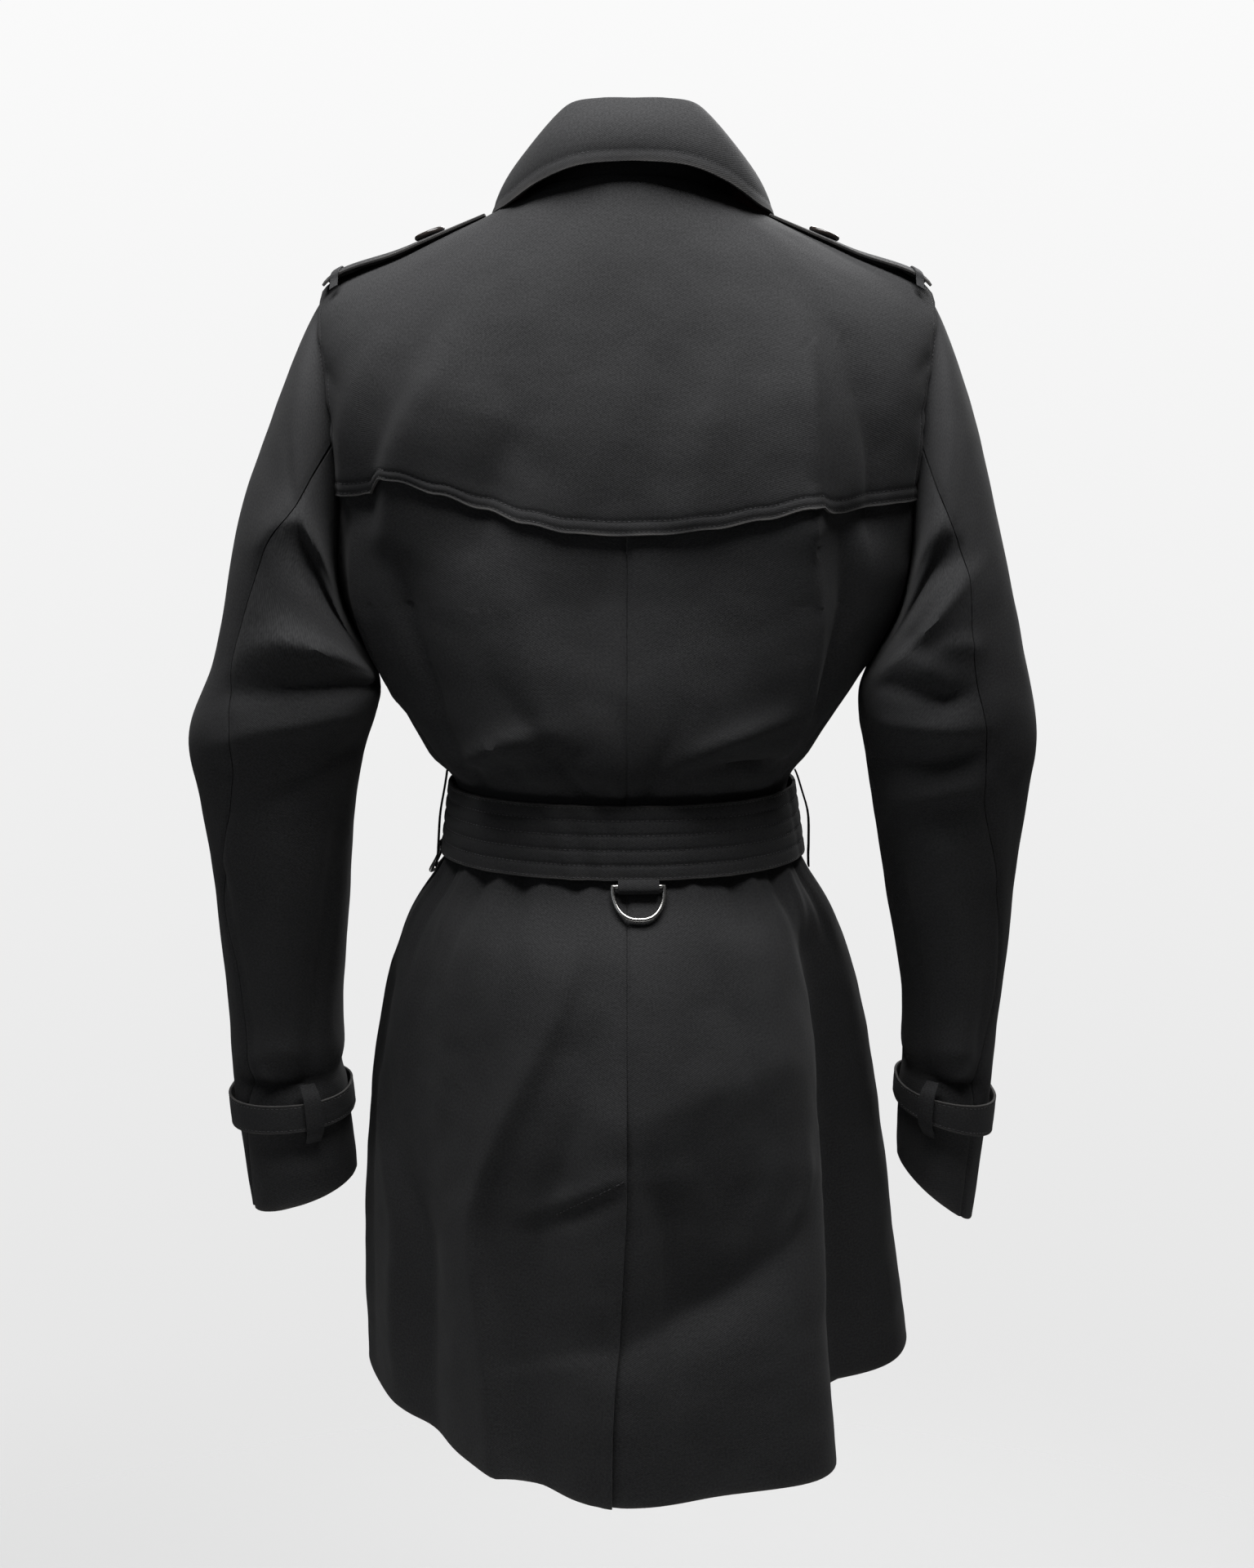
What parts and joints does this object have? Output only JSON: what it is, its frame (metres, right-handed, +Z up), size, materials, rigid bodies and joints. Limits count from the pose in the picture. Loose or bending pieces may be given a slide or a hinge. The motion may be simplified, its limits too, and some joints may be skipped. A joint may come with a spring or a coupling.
{
  "type": "belted trench coat",
  "caption": "Short belted double-breasted trench coat with epaulettes, a storm flap, cuff straps and a back vent, held in its worn form.",
  "frame": {"origin": "the middle of the neck opening at the height of the centre back neck seam, where the wearer's neck and shoulders hold the coat up (mount neck_hold)", "axes": "+Z up, from the hem to the collar; the front faces -Y; +X is the wearer's left"},
  "size_m": [0.5936, 0.391, 0.9325],
  "materials": {
    "coat_cloth": "matt cotton gabardine",
    "horn_button": "polished dark imitation horn",
    "steel": "polished nickel-plated steel wire",
    "dark_buckle": "satin dark moulded plastic"
  },
  "bodies": {
    "root": {"back_left": "coat_cloth", "back_right": "coat_cloth", "front_left": "coat_cloth", "front_right": "coat_cloth", "lapel_left": "coat_cloth", "lapel_right": "coat_cloth", "storm_flap": "coat_cloth", "collar_stand": "coat_cloth", "collar_leaf": "coat_cloth", "sleeve_upper_left": "coat_cloth", "sleeve_upper_right": "coat_cloth", "sleeve_under_left": "coat_cloth", "sleeve_under_right": "coat_cloth", "cuff_strap_left": "coat_cloth", "cuff_strap_right": "coat_cloth", "cuff_loop_left": "coat_cloth", "cuff_loop_right": "coat_cloth", "belt": "coat_cloth", "belt_loop_left": "coat_cloth", "belt_loop_right": "coat_cloth", "d_ring_loop_back": "coat_cloth", "d_ring_loop_side": "coat_cloth", "epaulette_left": "coat_cloth", "epaulette_right": "coat_cloth", "epaulette_keeper_left": "coat_cloth", "epaulette_keeper_right": "coat_cloth", "button_a1": "horn_button", "button_a2": "horn_button", "button_a3": "horn_button", "button_a4": "horn_button", "button_b1": "horn_button", "button_b2": "horn_button", "button_b3": "horn_button", "button_b4": "horn_button", "epaulette_button_left": "horn_button", "epaulette_button_right": "horn_button", "d_ring_back": "steel", "d_ring_side": "steel", "belt_buckle": "dark_buckle", "cuff_buckle_left": "dark_buckle", "cuff_buckle_right": "dark_buckle"}
  },
  "joints": []
}
